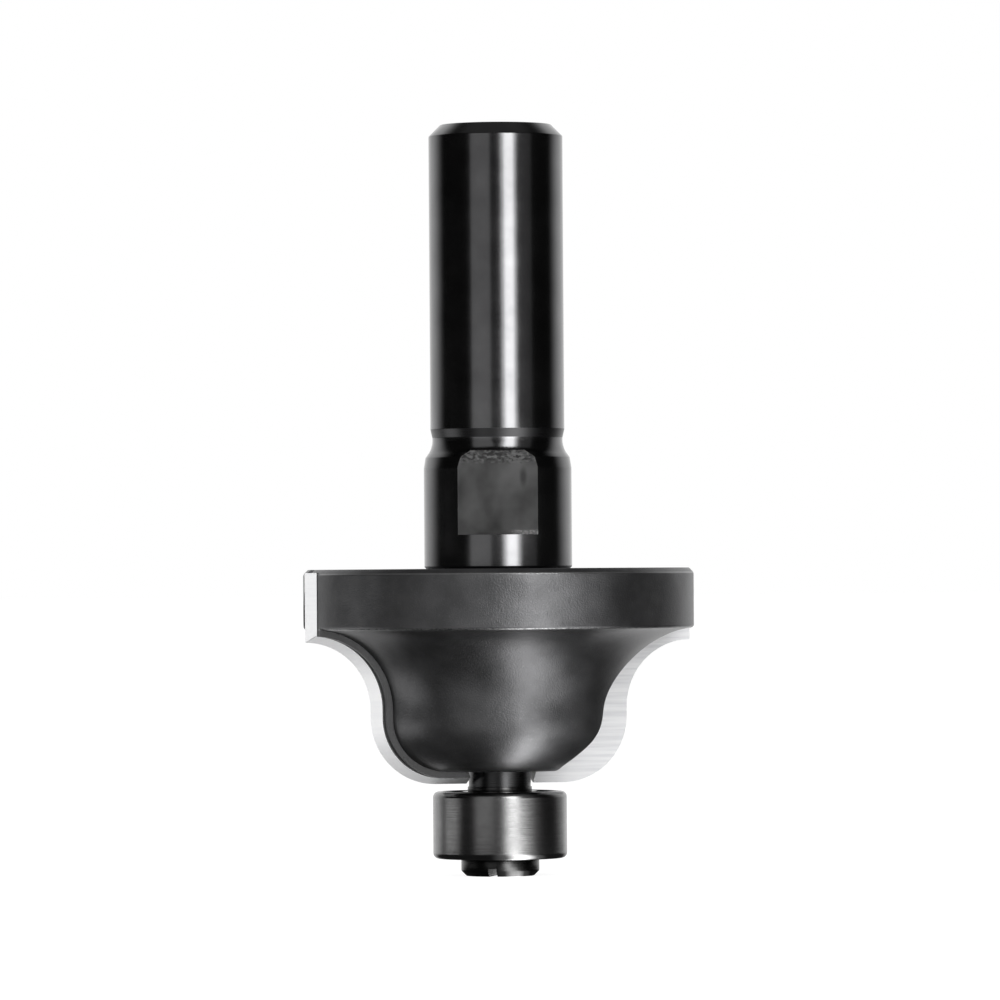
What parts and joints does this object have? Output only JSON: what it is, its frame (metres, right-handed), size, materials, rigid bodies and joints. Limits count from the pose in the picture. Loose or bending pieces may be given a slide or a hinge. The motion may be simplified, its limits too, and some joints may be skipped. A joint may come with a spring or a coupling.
{
  "type": "router bit",
  "caption": "Two-flute ogee router bit with carbide tips, a shank, a wrench collar and a ball-bearing pilot held by a slotted screw.",
  "frame": {"origin": "on the spin axis, at the flat face under the pilot screw's head", "axes": "+Z along the spin axis towards the shank end; the two wrench flats face -Y and +Y"},
  "size_m": [0.037, 0.037, 0.0711],
  "materials": {
    "black_oxide_steel": "ground and blackened, glossy",
    "blasted_head_steel": "bead-blasted and blackened, matt",
    "carbide": "bright ground carbide",
    "bearing_steel": "ground bearing steel",
    "ball_steel": "polished",
    "cage_steel": "pressed strip",
    "shield_steel": "pressed sheet",
    "screw_steel": "blackened"
  },
  "bodies": {
    "bit": {"arbor": "black_oxide_steel", "cutter_head": "blasted_head_steel", "carbide_tip_right": "carbide", "carbide_tip_left": "carbide", "spacer_washer": "screw_steel", "pilot_screw": "screw_steel", "bearing_inner_ring": "bearing_steel"},
    "outer_ring": {"bearing_outer_ring": "bearing_steel", "shield_upper": "shield_steel", "shield_lower": "shield_steel", "snap_ring_upper": "shield_steel", "snap_ring_lower": "shield_steel"},
    "cage": {"cage_upper": "cage_steel", "cage_lower": "cage_steel"},
    "ball_body_1": {"ball_1": "ball_steel"},
    "ball_body_2": {"ball_2": "ball_steel"},
    "ball_body_3": {"ball_3": "ball_steel"},
    "ball_body_4": {"ball_4": "ball_steel"},
    "ball_body_5": {"ball_5": "ball_steel"},
    "ball_body_6": {"ball_6": "ball_steel"},
    "ball_body_7": {"ball_7": "ball_steel"}
  },
  "joints": [
    {"name": "pilot_spin", "type": "hinge", "parent": "bit", "child": "outer_ring", "pos_m": [0, 0, 0.00483], "axis": [0, 0, 1], "continuous": true},
    {"name": "cage_orbit", "type": "hinge", "parent": "bit", "child": "cage", "pos_m": [0, 0, 0.00483], "axis": [0, 0, 1], "continuous": true},
    {"name": "ball_1_roll", "type": "hinge", "parent": "cage", "child": "ball_body_1", "pos_m": [0.00436, 0, 0.00483], "axis": [0, 0, 1], "continuous": true},
    {"name": "ball_2_roll", "type": "hinge", "parent": "cage", "child": "ball_body_2", "pos_m": [0.00272, 0.00341, 0.00483], "axis": [0, 0, 1], "continuous": true},
    {"name": "ball_3_roll", "type": "hinge", "parent": "cage", "child": "ball_body_3", "pos_m": [-0.00097, 0.00426, 0.00483], "axis": [0, 0, 1], "continuous": true},
    {"name": "ball_4_roll", "type": "hinge", "parent": "cage", "child": "ball_body_4", "pos_m": [-0.00393, 0.00189, 0.00483], "axis": [0, 0, 1], "continuous": true},
    {"name": "ball_5_roll", "type": "hinge", "parent": "cage", "child": "ball_body_5", "pos_m": [-0.00393, -0.00189, 0.00483], "axis": [0, 0, 1], "continuous": true},
    {"name": "ball_6_roll", "type": "hinge", "parent": "cage", "child": "ball_body_6", "pos_m": [-0.00097, -0.00426, 0.00483], "axis": [0, 0, 1], "continuous": true},
    {"name": "ball_7_roll", "type": "hinge", "parent": "cage", "child": "ball_body_7", "pos_m": [0.00272, -0.00341, 0.00483], "axis": [0, 0, 1], "continuous": true}
  ],
  "couplings": [
    {"joint": "cage_orbit", "follows": "pilot_spin", "ratio": 0.63631},
    {"joint": "ball_1_roll", "follows": "pilot_spin", "ratio": 1.6977},
    {"joint": "ball_2_roll", "follows": "pilot_spin", "ratio": 1.6977},
    {"joint": "ball_3_roll", "follows": "pilot_spin", "ratio": 1.6977},
    {"joint": "ball_4_roll", "follows": "pilot_spin", "ratio": 1.6977},
    {"joint": "ball_5_roll", "follows": "pilot_spin", "ratio": 1.6977},
    {"joint": "ball_6_roll", "follows": "pilot_spin", "ratio": 1.6977},
    {"joint": "ball_7_roll", "follows": "pilot_spin", "ratio": 1.6977}
  ]
}
